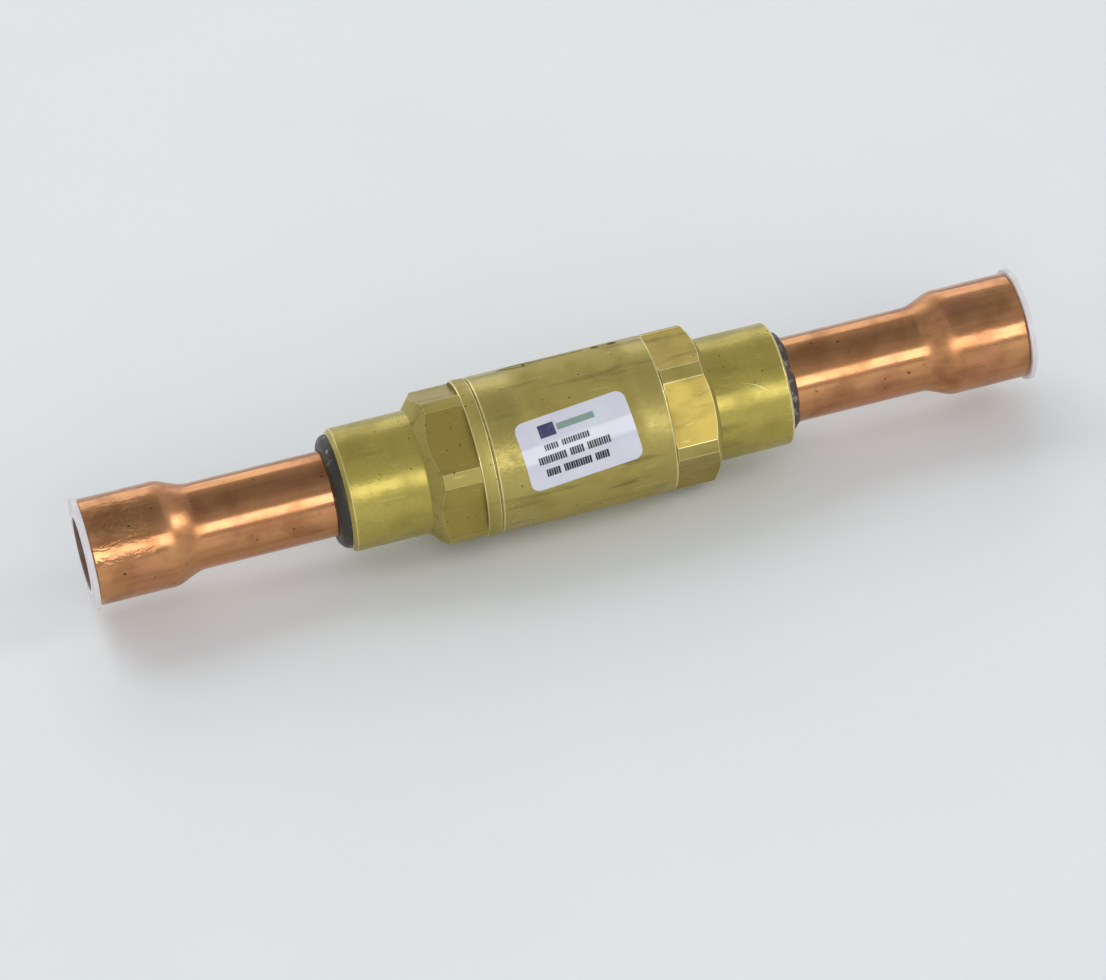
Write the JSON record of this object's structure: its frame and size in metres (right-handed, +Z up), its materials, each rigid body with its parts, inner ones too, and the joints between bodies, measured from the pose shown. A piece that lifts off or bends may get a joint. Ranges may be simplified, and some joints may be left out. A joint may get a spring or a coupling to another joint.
{
  "type": "check valve",
  "caption": "Straight spring-loaded piston check valve in brass with brazed copper solder sockets, wrench collars and transport plugs.",
  "frame": {"origin": "on the flow axis, midway between the two socket mouths", "axes": "+X along the flow axis towards the inlet, so flow runs along -X; -Y faces the front, where the label is; +Z up"},
  "size_m": [0.1346, 0.0221, 0.022],
  "materials": {
    "brass": "turned, lightly tarnished, satin",
    "copper": "drawn copper tube, satin, stained",
    "braze_alloy": "dark brazing alloy with flux stains",
    "seal_rubber": "moulded black rubber",
    "inner_brass": "clean turned brass",
    "ptfe": "white fluoropolymer",
    "stainless": "machined stainless",
    "spring_steel": "drawn stainless wire and strip",
    "plug_plastic": "translucent white polyethylene",
    "label_film": "glossy white film label"
  },
  "bodies": {
    "housing": {"valve_body": "brass", "outlet_connector": "brass", "body_seal": "seal_rubber", "inlet_tube": "copper", "outlet_tube": "copper", "inlet_braze": "braze_alloy", "outlet_braze": "braze_alloy", "piston_guide": "inner_brass", "retaining_ring": "spring_steel", "return_spring": "spring_steel", "product_label": "label_film"},
    "piston_group": {"piston": "inner_brass", "seat_gasket": "ptfe", "gasket_washer": "stainless", "gasket_screw": "stainless"},
    "inlet_plug": {"inlet_plug": "plug_plastic"},
    "outlet_plug": {"outlet_plug": "plug_plastic"}
  },
  "joints": [
    {"name": "piston_lift", "type": "slide", "parent": "housing", "child": "piston_group", "axis": [-1, 0, 0], "range_m": [0, 0.003], "stiffness_N_per_m": 150, "springref_m": -0.004, "deforming": ["return_spring"]},
    {"name": "inlet_plug_pull", "type": "slide", "parent": "housing", "child": "inlet_plug", "axis": [1, 0, 0], "range_m": [0, 0.012]},
    {"name": "outlet_plug_pull", "type": "slide", "parent": "housing", "child": "outlet_plug", "axis": [-1, 0, 0], "range_m": [0, 0.012]}
  ]
}
